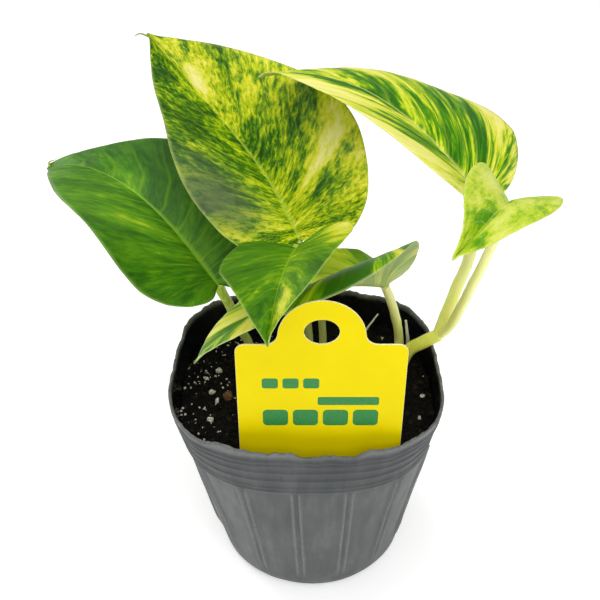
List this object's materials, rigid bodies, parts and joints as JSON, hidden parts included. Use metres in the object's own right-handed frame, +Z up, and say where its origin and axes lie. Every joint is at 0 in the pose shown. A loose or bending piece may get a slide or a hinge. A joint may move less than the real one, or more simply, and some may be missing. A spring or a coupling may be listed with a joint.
{
  "type": "potted pothos plant",
  "caption": "Young variegated pothos with heart-shaped leaves on arching stalks, growing in a soft black ribbed nursery pot of soil with a blank yellow name tag pushed in at the front.",
  "frame": {"origin": "on the flat underside of the pot, 1.4 mm to the right of its centre", "axes": "+Z up, -Y towards the side where the name tag stands, +X to the right when looking at the tag"},
  "size_m": [0.1706, 0.1343, 0.1661],
  "materials": {
    "pot_plastic": "satin grey-black soft plastic film with fine rings and ribs, glossier inside",
    "soil": "dark damp peat mix with perlite and bark crumbs",
    "tag_plastic": "smooth bright yellow printed sheet with whitish cut edges and plain green bars",
    "leaf_mottled": "semi-gloss leaf, densely flecked dark green, yellow-green and cream along the veins",
    "leaf_green": "semi-gloss mid-green leaf with a few yellow flecks",
    "leaf_striped": "semi-gloss leaf with bold dark green, yellow and cream stripes along the veins",
    "leaf_pale": "semi-gloss pale yellow-green young leaf with green patches",
    "stalk": "smooth pale green fleshy stalk",
    "vine": "smooth yellow-green fleshy stem",
    "dry_matter": "dry fibrous straw and bark",
    "perlite": "rough off-white grains"
  },
  "bodies": {
    "root": {"bark_chip": "dry_matter", "dry_sheath": "dry_matter", "leaf_arching": "leaf_striped", "leaf_front": "leaf_green", "leaf_large_mottled": "leaf_mottled", "leaf_left": "leaf_green", "leaf_low_folded": "leaf_striped", "leaf_small_right": "leaf_pale", "name_tag": "tag_plastic", "perlite_01": "perlite", "perlite_02": "perlite", "perlite_03": "perlite", "perlite_04": "perlite", "perlite_05": "perlite", "perlite_06": "perlite", "perlite_07": "perlite", "perlite_08": "perlite", "perlite_09": "perlite", "perlite_10": "perlite", "perlite_11": "perlite", "perlite_12": "perlite", "perlite_13": "perlite", "perlite_14": "perlite", "perlite_15": "perlite", "pot": "pot_plastic", "soil": "soil", "stalk_arching": "stalk", "stalk_front": "stalk", "stalk_large_mottled": "stalk", "stalk_left": "stalk", "stalk_low_folded": "stalk", "stalk_small_right": "stalk", "straw_sliver": "dry_matter", "vine_right": "vine"}
  },
  "joints": []
}
